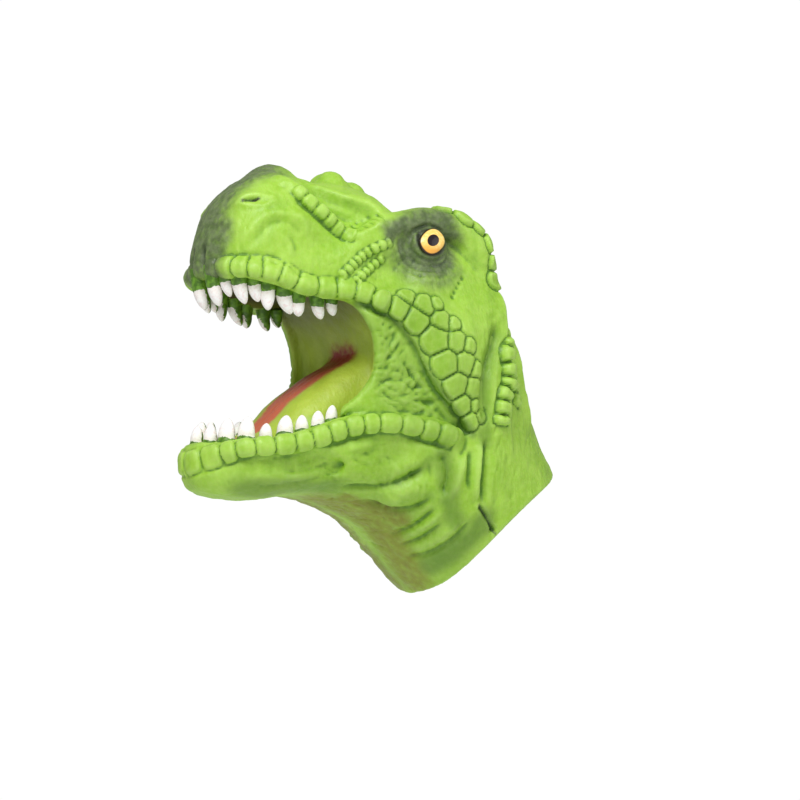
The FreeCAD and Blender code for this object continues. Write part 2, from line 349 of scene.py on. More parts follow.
def shape_head(clay):
    """Brows, bumps, hollows and folds of the closed head."""
    add, cut = clay.blob, lambda *a, **k: clay.blob(*a, cut=True, **k)
    add((94, 0, 127), (11, 9, 9.6), 3.0)                 # dome on the nose
    add((69.5, 2, 127.5), (7.0, 8, 9.0), 2.5)            # second bump
    add((61, 3, 126.5), (5.5, 7, 6.5), 2.5)
    clay.roll([(88, 20, 125), (82, 23, 121), (75, 26, 116.5), (68, 28, 116)], 4.0, 4.0, cut=True)
    clay.roll([(98, 13, 127), (94.5, 18, 123.5), (90.5, 21, 119.2), (86, 22.8, 115), (81.4, 24, 111.4),
               (77, 25, 108.4), (72.5, 26.3, 107), (68, 28, 108.5), (64, 28.8, 111.5)], 3.2, 1.5)
    clay.roll([(64, 26, 108), (56, 28, 112), (45, 28, 115.2), (33, 28.5, 115), (24, 28.5, 111),
               (18, 29, 103)], 4.2, 3.5)                 # brow
    cut((50, 38, 103), (13, 7.5, 8.5), 4.0, turn=-12)    # hollow in front of the eye
    add((43, 30.5, 104.6), (8.6, 5.0, 7.4), 2.0)       # eyelids
    cut((88, 33, 106), (24, 7, 8), 5.0, turn=-18)        # hollow along the snout's side
    cut((81.5, 2, 134.5), (3.6, 14, 6), 2.0)               # dip between the bumps
    add((110, 12.5, 118), (6.5, 5.0, 4.6), 2.5, turn=-35)    # nostril rims
    add((20, 22, 109), (8, 9, 7), 4.0)                   # lumps behind the brow
    add((16, 21, 97), (7, 10, 8), 5.0)
    cut((30, 43, 92), (13, 7, 16), 6.0, turn=15)         # hollow behind the eye
    add((36, 33, 62), (9, 7, 22), 6.0, turn=20)          # cheek
    cut((64, 36, 96), (14, 6, 9), 5.0, turn=10)
    add((62, 27, 103), (9, 5, 4), 3.0, turn=20)          # folds under the brow
    cut((100, 26, 22), (22, 5, 5), 4.0)                  # under the lower lip
    cut((58, 36, 20), (16, 6, 10), 6.0, turn=25)         # throat side


def open_mouth(clay):
    """Open the mouth, with a web of skin at each corner."""
    gap_top = [(92, 83.5), (103, 86.5), (113, 89), (120, 90), (126, 92), (136, 96)]
    gap_low = [(136, 27), (126, 30.5), (112, 32), (98, 34), (88, 37)]
    web = spline(WEB_EDGE)
    gap = np.vstack([gap_top, gap_low, web[::-1]])
    clay.merge(clay.side(gap), 1.6, cut=True)

    # the pocket between fingers and thumb, with its vault above and its floor below
    vault = [(62, 66), (66, 75), (76, 84.5), (90, 88), (104, 91.5), (114, 93.5), (119, 94)]
    floor = [(119, 27), (110, 26.5), (98, 28.5), (86, 32.5), (75, 39), (66, 49), (61.5, 56)]
    pocket = spline(vault + floor, closed=True)
    pocket_half = through([(58, 30), (66, 30), (72, 27.5), (79, 22.5), (86, 18.5), (96, 17), (108, 14.5),
                           (116, 9), (120, 5)])(clay.x)
    pocket_body = smooth_cut(clay.side(pocket), -(clay.y - pocket_half), 5.0)
    clay.mouth = pocket_body.astype(np.float32)
    clay.merge(pocket_body, 2.5, cut=True)

    # the thumb beneath lifts the middle of the floor
    for y in (0.0, 5.0, 10.0):
        clay.roll([(105, y, 20.5), (99, y, 22.8), (92, y, 27.6), (85, y, 34.2), (80, y, 39.4),
                   (68, y, 48.4), (56, y, 55), (50, y, 64), (49, y, 76)], 9.0, 4.0)

    # the outside of the webs lies deeper than the lips
    web_area = np.vstack([spline(UPPER_LIP_EDGE)[::-1], [(80, 85), (92, 84), (92, 38)],
                          spline(LOWER_LIP_EDGE)[::-1]])
    web_half = through([(28, 37), (36, 36), (46, 35.3), (58, 34.8), (68, 33.8), (75, 30.8),
                        (82, 26.5)])(clay.x)
    clay.merge(smooth_cut(clay.side(web_area), -(web_half - clay.y), 3.0), 2.2, cut=True)


def shape_lips(clay):
    """The rolls of the lips."""
    clay.roll([(121, 12, 93.5), (115, 19.5, 92.5), (104, 24, 90), (92, 25.6, 87.2), (82, 27, 86.3),
               (74, 29.6, 85.5), (64, 32.5, 81.5), (56, 34.5, 76)], 2.6, 2.2)
    clay.roll([(120.6, 12, 26), (113, 19.5, 27.2), (102, 22.8, 28.6), (90, 25.5, 31.5),
               (80, 28.5, 35.3), (70, 31.4, 37.3), (58, 34.2, 37.4), (46, 36.2, 36), (36, 37.6, 33.4)],
              3.2, 2.2)


# ---------------------------------------------------------------- from field to mesh

def surface_net(field, low, step):
    """Points and quads on the zero surface of a field, one point for each cell it passes."""
    inside = field < 0
    size = np.array(field.shape) - 1
    corners = [np.array(c) for c in np.ndindex(2, 2, 2)]
    count = sum(inside[c[0]:size[0] + c[0], c[1]:size[1] + c[1], c[2]:size[2] + c[2]].astype(np.int8)
                for c in corners)
    mixed = (count > 0) & (count < 8)
    number = np.full(mixed.shape, -1, np.int64)
    cells = np.argwhere(mixed)
    number[mixed] = np.arange(len(cells))
    total, hits = np.zeros((len(cells), 3)), np.zeros((len(cells), 1))
    for a in corners:
        for axis in range(3):
            if a[axis]:
                continue
            b = a + np.eye(3, dtype=int)[axis]
            fa = field[tuple((cells + a).T)].astype(float)
            fb = field[tuple((cells + b).T)].astype(float)
            crossing = (fa < 0) != (fb < 0)
            t = np.where(crossing, fa / np.where(crossing, fa - fb, 1.0), 0.0)[:, None]
            total += np.where(crossing[:, None], a + t * (b - a), 0.0)
            hits += crossing[:, None]
    points = low + step * (cells + total / hits)
    quads = []
    for axis in range(3):
        u, v = [i for i in range(3) if i != axis]
        inner = [slice(1, -1)] * 3
        inner[axis] = slice(0, -1)
        outer = list(inner)
        outer[axis] = slice(1, None)
        here, there = inside[tuple(inner)], inside[tuple(outer)]
        spots = np.argwhere(here != there) + (np.arange(3) != axis)
        solid_first = inside[tuple(spots.T)]
        shift_u, shift_v = np.eye(3, dtype=int)[u], np.eye(3, dtype=int)[v]
        ring = [spots - shift_u - shift_v, spots - shift_v, spots, spots - shift_u]
        quad = np.stack([number[tuple(r.T)] for r in ring], 1)
        flip = solid_first if axis == 1 else ~solid_first
        quad[flip] = quad[flip][:, ::-1]
        quads.append(quad)
    return points, np.vstack(quads)


def neighbours(quads):
    """Both ends of every edge."""
    edges = np.sort(np.vstack([quads[:, [i, (i + 1) % 4]] for i in range(4)]), axis=1)
    codes = np.unique(edges[:, 0] * (quads.max() + 1) + edges[:, 1])
    return np.stack([codes // (quads.max() + 1), codes % (quads.max() + 1)], 1)


def neighbour_sum(values, edges):
    """For each point, the sum of the values at the points it shares an edge with."""
    a, b = edges.T
    return np.bincount(a, values[b], len(values)) + np.bincount(b, values[a], len(values))


def relax(points, edges):
    """Even out bumps without shrinking."""
    degree = np.maximum(neighbour_sum(np.ones(len(points)), edges), 1)[:, None]
    for step in SKIN_RELAXING:
        total = np.stack([neighbour_sum(points[:, axis], edges) for axis in range(3)], 1)
        points = points + step * (total / degree - points)
    return points


def make_skin(clay, along):
    """The hollow skin: sculpted outside, an even wall, open at the hem."""
    hem = HEM_LIFT * np.clip(clay.y / 35.0, 0, 1) ** 3
    hollow = np.maximum(clay.field, -(clay.field + WALL))
    hollow = np.maximum(hollow, hem - along)
    mirrored = np.concatenate([hollow[:, :0:-1], hollow], axis=1)
    low = GRID_LOW.copy()
    low[1] = -GRID_STEP * (clay.field.shape[1] - 1)
    points, quads = surface_net(mirrored, low, GRID_STEP)
    return relax(points, neighbours(quads)), quads


def point_normals(points, quads):
    p = points[quads]
    facing = np.cross(p[:, 2] - p[:, 0], p[:, 3] - p[:, 1])
    total = np.zeros_like(points)
    for corner in range(4):
        for axis in range(3):
            total[:, axis] += np.bincount(quads[:, corner], facing[:, axis], len(points))
    return total / np.maximum(np.linalg.norm(total, axis=1, keepdims=True), 1e-12)


# ---------------------------------------------------------------- relief and paint

def noise(points, size, seed):
    """Smooth random values between -1 and 1 that change over about this size."""
    place = points / size
    base = np.floor(place).astype(np.int64)
    t = place - base
    t = t * t * (3 - 2 * t)
    table = np.random.default_rng(seed).uniform(-1, 1, 4096)

    def value_at(cell):
        """A table's entry for each cell, scattered by three large primes."""
        mixed = cell[:, 0] * 73856093 ^ cell[:, 1] * 19349663 ^ cell[:, 2] * 83492791
        return table[mixed % len(table)]

    return blend_corners(base, t, value_at)


class Relief:
    """Heights and paints on the skin's points, alike on both sides of the head."""

    def __init__(self, points, clay):
        self.points = points * [1, 0, 1] + np.abs(points) * [0, 1, 0]
        self.clay = clay
        self.height = np.zeros(len(points))
        self.paint = {name: np.zeros(len(points)) for name in PAINTS}
        self.random = np.random.default_rng(SEED)

    def place(self, places):
        """Points on the side of the head at x, z; places of x, y, z stay as they are."""
        found = []
        for p in places:
            if len(p) == 2:
                i = int(round((p[0] - GRID_LOW[0]) / GRID_STEP))
                k = int(round((p[1] - GRID_LOW[2]) / GRID_STEP))
                solid = np.flatnonzero(self.clay.field[i, :, k] < 0)
                y = GRID_STEP * solid[-1] if len(solid) else 0.0
                p = (p[0], y, p[1])
            found.append(p)
        return np.array(found, float)

    def within(self, places, reach):
        """Numbers of the points in a box that reaches this far past some places."""
        low, high = places.min(0) - reach, places.max(0) + reach
        return np.flatnonzero(((self.points > low) & (self.points < high)).all(1))

    def near(self, places, reach):
        """Points near a line: their numbers, distances, places along it, and its length."""
        line = spline(self.place(places), pieces=4)
        number = self.within(line, reach)
        p = self.points[number]
        best, where, start = np.full(len(p), 1e9), np.zeros(len(p)), 0.0
        for a, b in zip(line, line[1:]):
            step = b - a
            length = max(float(np.linalg.norm(step)), 1e-6)
            t = np.clip((p - a) @ step / length ** 2, 0, 1)
            away = np.linalg.norm(p - a - t[:, None] * step, axis=1)
            closer = away < best
            best[closer], where[closer] = away[closer], start + t[closer] * length
            start += length
        keep = best < reach
        return number[keep], best[keep], where[keep], start

    def line(self, places, width, height, taper=4.0):
        """A ridge, or with a height below zero a crease, that fades out at its ends."""
        number, away, along, length = self.near(places, 2.5 * width)
        fade = smoothstep(along, 0, taper) * smoothstep(length - along, 0, taper)
        self.height[number] += height * fade * np.exp(-(away / width) ** 2)

    def ring(self, places, width, height):
        number, away, _, _ = self.near(list(places) + [places[0]], 2.5 * width)
        self.height[number] += height * np.exp(-(away / width) ** 2)

    def beads(self, places, width, height, count, square=2.0, seam=0.35, rim=0.8):
        """A row of rounded blocks along a line."""
        number, away, along, length = self.near(places, 1.3 * width)
        lengths = self.random.uniform(0.78, 1.22, count)
        edges = np.concatenate([[0], np.cumsum(lengths)]) / lengths.sum()
        phase = np.abs(2 * (np.interp(along / length, edges, np.arange(count + 1)) % 1) - 1)
        across = away / width
        ends = smoothstep(along, 0, 0.6) * smoothstep(length - along, 0, 0.6)
        reach = (phase ** (2 * square) + across ** (2 * square)) ** (0.5 / square)
        top = np.clip(1 - reach ** (2 * square), 0, 1) ** 0.5
        cell = min(length / count / 2, width)
        groove = np.exp(-((np.minimum(reach, 1.02) - 1) * cell / 0.5) ** 2)
        groove *= 1 - smoothstep(across, 1.0, 1.25)
        groove *= 1 - (1 - rim) * smoothstep(across - phase, -0.1, 0.2)
        self.height[number] += ends * (height * top - seam * groove)

    def plates(self, places, height, seam=0.5):
        """Rounded scales that meet in narrow grooves, each given as x, z, radius."""
        centres = self.place([p[:-1] for p in places])
        for _ in range(SNAP_ROUNDS):
            slopes = np.array([self.clay.slope(c) for c in centres])
            slopes /= np.linalg.norm(slopes, axis=1, keepdims=True)
            centres = centres - slopes * self.clay.sample(self.clay.field, centres)[:, None]
        radii = np.array([p[-1] for p in places], float)
        number = self.within(centres, radii.max() + 2)
        away = np.linalg.norm(self.points[number][:, None] - centres, axis=2) - radii
        away.sort(axis=1)
        edge = np.minimum(away[:, 1] - away[:, 0], 1.2 - 1.4 * away[:, 0])
        crown = smoothstep(edge, 0.1, 1.5) * (1 - 0.25 * smoothstep(away[:, 0], -6, 0))
        groove = np.exp(-(edge / 0.55) ** 2)
        self.height[number] += height * crown - seam * groove * (away[:, 0] < 2.5)

    def dab(self, place, radius, height):
        centre = self.place([place])[0]
        away = np.linalg.norm(self.points - centre, axis=1)
        self.height += height * np.exp(-(away / radius) ** 2)

    def wrinkles(self, places, scatter, heading, count, length, width, depth):
        """Short creases scattered about a line; heading is their slope in degrees."""
        line = spline(np.array(places, float), pieces=8)
        for _ in range(count):
            middle = line[self.random.integers(len(line))] + self.random.normal(0, scatter, 2)
            turn = math.radians(heading + self.random.normal(0, 14))
            half = length * self.random.uniform(0.3, 0.7)
            run = half * np.array([math.cos(turn), math.sin(turn)])
            bow = self.random.uniform(-0.2, 0.2) * np.array([-run[1], run[0]])
            crease = [tuple(middle - run), tuple(middle + bow), tuple(middle + run)]
            self.line(crease, width * self.random.uniform(0.8, 1.3), -depth, taper=half)

    def spray(self, name, places, radius, strength=1.0):
        """Soft paint along a line."""
        number, away, _, _ = self.near(places, 1.7 * radius)
        cover = strength * (1 - smoothstep(away, 0.3 * radius, 1.6 * radius))
        self.paint[name][number] = np.maximum(self.paint[name][number], cover)


def arc(centre, radius, start, end, count=7, squash=1.0):
    """Places on an arc in side view, from one angle to another in degrees."""
    angles = np.radians(np.linspace(start, end, count))
    return [(centre[0] + radius * math.cos(a), centre[1] + squash * radius * math.sin(a))
            for a in angles]


EYE = (44.0, 106.6)
LIP_ROW = [(122, 4.5, 93.4), (119.5, 12, 93.4), (116, 93.2), (110, 93), (104.5, 92), (99.5, 89.6),
           (94, 87.2), (88, 86.4), (82, 86.8), (76, 86.4), (70, 84.8), (63.5, 81.6)]
JAW_ROW = [(128.6, 0, 21.8), (127.4, 5, 22.6), (125, 9.5, 23.8), (121.5, 25.4), (116.5, 26.8),
           (109, 28), (102, 28.8), (94, 29.8), (86, 32.3), (78, 35.2), (70, 36.6), (63, 37),
           (56, 36.4), (49, 35), (42, 33.6), (36, 32.2)]
CHEEK_PLATES = [(65.5, 82.2, 4.0), (59.4, 80.2, 4.5), (52.6, 76, 5.2), (45.4, 69, 5.7), (41.5, 60, 5.5),
                (37, 52.2, 5.2), (33.3, 44.9, 4.5), (29.8, 39.4, 3.7), (56, 84.5, 3.2), (49.3, 81.5, 4.2),
                (42.8, 76, 4.2), (36.8, 68.3, 4.2), (33.5, 60.8, 4.5), (28.8, 51.2, 4.2), (27.6, 45.2, 3.0),
                (44, 82.5, 2.7), (37.5, 75.4, 2.7), (31.5, 67.2, 3.0), (27.6, 58.5, 3.0), (24.6, 41.5, 2.5)]
BACK_LUMPS = [(34, 27, 119, 4.6), (26.5, 29, 118.5, 5.4), (20.5, 28, 114.5, 5.2), (16.5, 28, 108.5, 5.2),
              (14.5, 28, 102, 5.0), (13.2, 28, 95.5, 4.4), (22, 19, 119.5, 5.0), (30, 18, 121, 4.8),
              (15.5, 18, 113.8, 5.2), (12, 18, 106.8, 5.0), (10, 18, 99.8, 4.6), (23, 9, 119, 4.8),
              (15.5, 8, 114, 5.0), (10.5, 8, 106, 5.0)]


def snout_relief(r):
    # the rope from the nose to the brow, its hook, and the hollow under it
    r.beads([(94.5, 20, 123.5), (91, 119.2), (86, 114.8), (81.4, 111.2), (77.2, 108.2), (73, 106.6)],
            2.8, 1.3, 6, square=2.2, seam=0.3)
    r.line([(75, 106.3), (70.5, 107.4), (66.5, 109.8), (62.5, 113)], 2.3, 1.8, 2.5)
    r.line([(97, 120.5), (93, 116.5), (87, 112), (81, 108), (76, 104.5)], 1.4, -1.0)
    r.line([(98, 118), (94, 112.5), (88, 108), (82, 104)], 2.4, 0.7, 8)
    # two rows of small beads before the cheek
    r.beads([(60.5, 105.5), (64, 104), (67.5, 102.3), (71, 99.9), (74.5, 97), (77.6, 94), (80.5, 91)],
            2.0, 1.3, 9, square=1.6)
    r.beads([(63, 99.8), (66.2, 97), (69.4, 94.4), (72.4, 91.8), (75, 89.4)], 1.9, 1.2, 6, square=1.6)
    # the upper lip, the fold over it and the crease at its front
    r.beads(LIP_ROW, 4.4, 0.85, 11, square=2.4, seam=0.5, rim=0.3)
    r.dab((102, 93.4), 2.6, 1.3)
    r.line([(121, 97.6), (115, 98), (109, 97.8), (104.5, 96.6), (101, 93), (97.5, 90.4), (92, 89.6)],
           0.8, -0.55)
    r.line([(124.6, 4, 103), (125.2, 4.4, 98), (125, 4.6, 95), (122.8, 6, 91.5)], 1.2, -1.6, 3)
    # curved folds on the snout's side
    outer = [(116.5, 100), (115, 104), (112, 108.2), (108.7, 111.5), (104.7, 113.3), (100.2, 113.5),
             (97, 112.3), (94.2, 109.7), (92, 105.8), (91, 100.6)]
    r.line(outer, 2.2, 0.9, 8)
    r.line([(114, 100), (111, 105), (106.5, 109.5), (102, 110.4), (98, 109), (95.6, 104.5)], 1.6, -0.6, 6)
    r.line([(103, 105.5), (99.8, 103), (99.5, 99.5), (101, 96)], 1.2, 0.5, 3)
    r.line([(100.5, 105.5), (97.7, 102), (97.6, 98)], 1.0, -0.45, 3)
    # the nostril and its rim
    nostril = [(114.2, 118.1), (112.6, 118.3), (110.8, 118.6), (109.2, 118.9)]
    r.line(nostril, 0.75, -1.8, 1.5)
    r.ring([(115.9, 117.4), (113.4, 119.9), (109.6, 120.8), (105.2, 119.6), (106, 116.8), (110.8, 116)],
           1.1, 0.55)
    r.line([(104.5, 116.6), (103.4, 119), (105, 121.2)], 1.0, 0.5, 2)
    # painted shade: ink in the nostril's slit and down the crease at the snout's front
    r.spray("ink_and_crease_shade", nostril, 0.6)
    r.spray("ink_and_crease_shade", [(124.8, 4, 102), (125.2, 4.4, 98), (124.8, 4.8, 94.5)], 1.4, 0.45)
    # flutes behind the nose, with short marks across them
    r.line([(88.6, 123), (83.3, 121), (76.6, 118.1), (69.3, 115.8)], 1.4, 0.7)
    r.line([(86, 19, 125.5), (80, 22, 122.8), (73, 26, 119.3)], 1.2, -0.6)
    r.line([(90, 121.5), (84, 118.6), (77, 115.2), (70.5, 113)], 1.2, -0.6)
    for x, z in ((71.2, 110.2), (68.9, 111.3), (66.8, 112.6), (64.8, 113.8), (62.6, 114.6)):
        r.line([(x + 1.2, z + 2.2), (x, z), (x - 0.6, z - 2.2)], 0.6, -0.6, 1.5)
    # fine wrinkles, and folds over the bumps
    r.wrinkles([(108, 103), (96, 96), (86, 97)], 4.0, -28, 26, 5, 0.5, 0.16)
    r.wrinkles([(118, 112), (121, 104), (122, 98)], 2.5, 70, 30, 4, 0.45, 0.16)
    r.wrinkles([(72, 100), (78, 104), (70, 92)], 3.0, -45, 16, 5, 0.5, 0.2)
    for x, z in ((96, 134), (91, 133), (86.5, 130.5), (70, 133), (65, 132.5), (60, 130)):
        r.line([(x, 1, z), (x - 1, 7, z - 3), (x - 0.5, 13, z - 7)], 0.9, -0.45, 4)


def eye_relief(r):
    # the lids, with rings and rays of wrinkles under them
    r.ring(arc(EYE, 6.1, 0, 315, 8, 0.86), 1.0, 0.75)
    for radius, depth in ((7.9, 0.6), (10.2, 0.5), (12.8, 0.42), (15.4, 0.3)):
        r.line(arc(EYE, radius, -165, 10, 9, 0.9), 0.6, -depth, 5)
        r.line(arc(EYE, radius + 1.1, -150, -5, 9, 0.9), 0.7, 0.6 * depth, 5)
    for angle in range(-150, 0, 17):
        reach = 11 + 4.5 * abs(math.sin(1.7 * angle))
        a, b = arc(EYE, 7.5, angle, angle, 1)[0], arc(EYE, reach + 6, angle - 9, angle - 9, 1)[0]
        r.line([a, ((a[0] + b[0]) / 2 + 0.5, (a[1] + b[1]) / 2), b], 0.6, -0.35, 3)
    r.line(arc(EYE, 8.2, 25, 150, 7, 0.8), 0.9, -0.8, 4)
    r.line(arc(EYE, 9.8, 30, 150, 7, 0.8), 1.0, 0.7, 4)
    # the brow, the skin behind the eye with its row of pits, and the lumps on the skull
    r.wrinkles([(58, 109), (50, 112), (44, 115), (38, 116)], 2.0, 20, 24, 4, 0.5, 0.3)
    r.wrinkles([(55, 97), (45, 93), (33, 95)], 3.0, 75, 26, 5, 0.5, 0.22)
    for place, radius in (((29.6, 93.8), 0.9), ((31.2, 91.9), 0.8), ((32.6, 90), 0.9), ((34, 88), 0.8),
                          ((35.1, 86.2), 0.9)):
        r.dab(place, radius, -1.0)
    r.plates(BACK_LUMPS, 1.8, 0.7)


def cheek_relief(r):
    # the scales, and the edge where the web begins
    r.plates(CHEEK_PLATES, 1.05, 0.75)
    r.line(UPPER_LIP_EDGE, 1.3, -1.1, 5)
    r.line([(x + 2.6, z + 0.2) for x, z in UPPER_LIP_EDGE[2:]], 1.4, 0.55, 6)
    # the web's wrinkles and long folds
    r.wrinkles([(66, 75), (63, 67), (58, 58), (52, 52)], 3.0, -50, 46, 13, 0.7, 0.45)
    r.wrinkles([(67, 60), (60, 53), (52, 47), (45, 43)], 3.0, -14, 46, 15, 0.7, 0.45)
    r.wrinkles([(67, 52), (60, 46), (50, 43)], 2.0, 12, 30, 10, 0.65, 0.55)
    r.wrinkles([(64, 64), (56, 54)], 4.0, 35, 26, 6, 0.55, 0.4)
    for lift in (0.0, 2.6, 5.0):
        r.line([(54 + lift, 58 + lift), (49 + lift / 2, 50 + lift), (43, 43 + lift / 2), (37, 38.6)],
               0.7, -0.5, 5)
    # the lower lip and the corner of the mouth
    r.beads(JAW_ROW, 4.8, 0.75, 15, square=1.7, seam=0.6, rim=0.9)
    r.line([(119, 23.4), (112, 23.6), (104, 24.2), (95, 25), (86, 27.6), (77, 30.4), (68, 32.2),
            (60, 32.4), (52, 31.4), (44, 29.8), (37, 28.4)], 1.6, -0.6, 6)
    r.line([(37.1, 39.1), (32.6, 37), (30.8, 33), (31.6, 28.6), (35, 25.4)], 1.3, -0.9, 3)


def jaw_relief(r):
    # the jaw's side
    r.line([(116, 16.5), (108, 17.2), (98, 17.6), (90, 20), (82, 24.4), (73, 28.6), (64, 30)], 2.0, 0.7, 8)
    r.line([(112, 14.5), (102, 13.6), (92, 15), (82, 18.4), (75, 20)], 1.4, -0.8, 6)
    r.line([(101, 19.5), (94, 19), (86, 21), (79, 24.5)], 1.2, -0.7, 6)
    r.line([(88, 17.6), (80, 20.6), (70, 26), (60, 28.6)], 1.6, -0.7, 8)
    # two thick folds behind it, the creases round them, and folds down the throat
    r.line([(63, 17.8), (54, 22.6), (46, 28)], 4.2, 3.2, 9)
    r.line([(61, 9), (50, 13.4), (42, 18.5)], 4.2, 3.0, 9)
    r.line([(77, 14), (68.5, 14), (61.8, 14.2), (52, 18.2), (45, 22.6)], 1.5, -2.0, 7)
    r.line([(66, 10), (56, 6.4), (48, 6.6), (42, 12)], 1.6, -1.8, 6)
    r.line([(42, 28), (39.5, 23), (38.5, 16), (40, 10)], 2.6, -2.6, 4)
    r.line([(50, -4), (45, 0.4), (40.5, 7)], 1.4, -1.6, 5)
    r.line([(46, -8), (41.5, -4.4), (36.8, 2)], 1.3, -1.3, 5)
    r.line([(42.9, -12), (37.6, -10.4), (31.8, -5.4), (25.5, 3.5)], 1.6, -1.7, 6)
    r.line([(47, -4), (42, 0.5), (37, 8)], 2.0, 1.2, 6)
    r.line([(42, -9), (36, -4.4), (30, 3)], 2.0, 1.2, 6)
    r.wrinkles([(76, 12), (64, 9), (54, 2), (46, -6)], 4.0, 20, 40, 8, 0.6, 0.3)
    r.wrinkles([(90, 17), (76, 22), (62, 25)], 3.0, 14, 40, 8, 0.6, 0.25)
    r.wrinkles([(112, 14), (100, 12), (90, 12)], 3.0, 0, 20, 6, 0.6, 0.2)
    r.wrinkles([(72, 9), (60, 2), (50, -6), (42, -14)], 4.0, 38, 30, 12, 0.9, 0.22)
    r.wrinkles([(60, 20), (50, 18), (44, 10)], 4.0, 60, 24, 9, 0.75, 0.4)


def neck_relief(r):
    # the flute up the neck, and the knobs behind it
    r.line([(13.7, 80), (16.6, 73), (19, 66.7), (21.5, 60.4), (23, 54), (23.5, 46), (23, 36)], 2.8, -3.0, 9)
    r.line([(14.6, 82), (18.5, 79), (22, 80)], 2.2, -0.8, 4)
    r.beads([(8, 76), (9.5, 71), (11, 66), (10.2, 60), (11, 54), (13.5, 49), (14.4, 43), (15, 38)], 3.8,
            2.8, 8, square=1.5, seam=0.8)
    r.beads([(0, 30, 70), (1, 31, 64), (1.5, 32, 58), (2, 33, 52), (3.5, 34, 46)], 3.4, 2.4, 5, square=1.5,
            seam=0.8)
    # the crease at the hem, and the folds that run up from it
    crease = [(24.4, 8), (21, 4.5), (17.6, 0.8), (14.5, -3)]
    r.line(crease, 1.0, -2.4, 2)
    # painted shade: ink along the crease at the hem
    r.spray("ink_and_crease_shade", crease, 0.5, 0.7)
    r.line([(x + 1.8, z + 1.4) for x, z in crease], 1.6, 0.9, 2)
    r.line([(24.8, 34), (25.8, 25), (26.6, 17), (25.6, 8)], 2.0, 2.2, 6)
    r.line([(22, 34), (22.4, 24), (22.8, 16), (22, 7)], 1.6, -2.2, 6)
    r.line([(29.4, 30), (30, 21), (29.4, 12)], 1.4, -1.5, 5)
    r.line([(31.5, 29), (33.6, 21.4), (35.6, 14.4), (38.5, 8)], 2.2, 1.8, 8)
    r.line([(18, 33), (15, 22), (13.5, 10), (10, 0)], 3.4, 0.8, 10)
    r.wrinkles([(15, 70), (17, 50), (20, 30), (18, 12)], 5.0, -70, 50, 9, 0.7, 0.22)
    r.wrinkles([(0, 50), (-8, 30), (-12, 12)], 5.0, -60, 30, 9, 0.7, 0.2)


def paint_skin(r, mouth):
    """Airbrushed paints, painted shade along folds and creases and under the jaw, the mouth lining and the
    tongue's red.
    """
    r.spray("airbrush", [(124.6, 2, 100), (123, 2, 107), (119.6, 2, 114), (114, 2, 121), (106, 2, 128),
                         (101, 2, 132)], 11.0, 0.95)
    r.spray("airbrush", [(123, 8, 93), (123.5, 8, 99), (121.5, 9.5, 107)], 7.5, 0.95)
    r.spray("airbrush", [(100, 2, 135), (94, 0, 136), (86, 0, 134)], 5.0, 0.8)
    r.spray("airbrush", arc(EYE, 8.2, -170, 170, 12, 0.95), 7.6, 0.95)
    r.spray("airbrush", [(60, 109.5), (53, 112.5), (45, 115.5), (37, 116)], 4.6, 1.0)
    r.spray("airbrush", arc(EYE, 13.5, -140, -20, 7, 1.0), 6.0, 0.55)
    r.spray("ink_and_crease_shade", arc(EYE, 5.3, 0, 360, 13, 0.86), 0.8, 0.9)
    r.spray("ochre", [(78, 8, 8), (66, 10, 4), (54, 12, -2), (44, 10, -13), (36, 8, -21)], 9.0, 0.8)
    r.spray("ochre", [(71, 9.5), (60, 6), (50, 2)], 4.5, 0.8)
    # the 'shade' sprays are painted shade: darker green in the throat's creases and folds, on the recessed
    # web and cheek, up the neck's flute, under the jaw and under the upper lip's edge
    r.spray("shade", [(35, -15), (30, -10), (25, -4), (20, 2)], 5.0, 0.6)
    r.spray("shade", [(41, 27), (39.5, 20), (38, 12), (33, 2)], 4.0, 0.5)
    r.spray("shade", [(66, 72), (60, 60), (52, 48), (42, 42)], 13.0, 0.28)
    r.spray("shade", [(56, 80), (44, 68), (34, 50)], 11.0, 0.2)
    r.spray("shade", [(60, 16), (48, 6), (36, -8)], 13.0, 0.16)
    r.spray("shade", [(77, 14), (68, 14), (60, 15), (50, 19), (44, 24)], 2.6, 0.3)
    r.spray("shade", [(65, 8), (56, 5.5), (48, 6), (42, 12)], 2.6, 0.3)
    r.spray("shade", [(16.6, 73), (21.5, 60.4), (23.5, 46), (23, 32)], 3.5, 0.4)
    r.spray("shade", [(112, 16, 12), (100, 19, 12), (90, 20, 12), (80, 22, 12)], 6.5, 0.5)
    r.spray("shade", [(x - 1.0, z - 0.5) for x, z in UPPER_LIP_EDGE], 2.0, 0.6)
    r.paint["mouth"] = mouth


def relief_and_paint(points, clay, outer, mouth):
    """Move the outer points by the relief, and give every point its paints."""
    r = Relief(points, clay)
    snout_relief(r)
    eye_relief(r)
    cheek_relief(r)
    jaw_relief(r)
    neck_relief(r)
    paint_skin(r, mouth)
    plain = 1 - smoothstep(mouth, 0.2, 0.8)
    rough = 0.22 * noise(points, 5.0, 1) + 0.13 * noise(points, 2.4, 2)
    rough += 0.07 * noise(points * [1.0, 1.0, 0.4], 1.2, 3)
    height = (r.height * plain + rough * (0.4 + 0.6 * plain)) * outer
    return height, r.paint


# ---------------------------------------------------------------- materials

def srgb(red, green, blue):
    """A linear colour from the usual 0-255 values."""
    return tuple((v / 255 / 12.92) if v <= 10 else ((v / 255 + 0.055) / 1.055) ** 2.4
                 for v in (red, green, blue)) + (1.0,)


